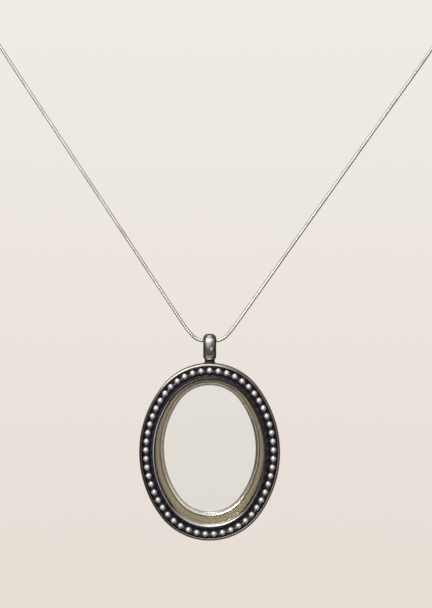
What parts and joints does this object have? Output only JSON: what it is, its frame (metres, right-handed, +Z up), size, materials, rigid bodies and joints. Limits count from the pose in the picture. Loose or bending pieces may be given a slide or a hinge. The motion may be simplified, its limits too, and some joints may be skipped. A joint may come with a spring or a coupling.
{
  "type": "floating charm locket necklace",
  "caption": "Oval hinged locket with a glass front and back, a border of small balls, and a bail hanging on a fine round chain closed by a plain clasp at the nape.",
  "frame": {"origin": "The nape: the middle of the clasp, where the necklace hangs.", "axes": "+Z is up, the locket's face looks to -Y, and +X is to the viewer's right as seen from the front."},
  "size_m": [0.1233, 0.1097, 0.1498],
  "materials": {
    "chain_silver": "polished",
    "steel": "polished",
    "dark_steel": "polished",
    "bead_silver": "polished",
    "clear_glass": "clear",
    "magnet": "plated"
  },
  "bodies": {
    "necklace": {"chain": "chain_silver", "clasp": "chain_silver"},
    "hanger": {"bail": "steel"},
    "case": {"back_case": "steel", "back_glass": "clear_glass", "case_magnet": "magnet", "hinge_pin": "steel"},
    "lid": {"lid_frame": "dark_steel", "lid_glass": "clear_glass", "lid_magnet": "magnet", "bead_border": "bead_silver"}
  },
  "joints": [
    {"name": "bail_swing", "type": "hinge", "parent": "necklace", "child": "hanger", "pos_m": [0, -0.104, -0.106], "axis": [1, 0, 0], "range_deg": [-75, 75]},
    {"name": "locket_tilt", "type": "hinge", "parent": "hanger", "child": "case", "pos_m": [0, -0.104, -0.11012], "axis": [0, 1, 0], "range_deg": [-15, 15]},
    {"name": "lid_hinge", "type": "hinge", "parent": "case", "child": "lid", "pos_m": [-0.01435, -0.10495, -0.1295], "axis": [0, 0, -1], "range_deg": [0, 110]}
  ]
}
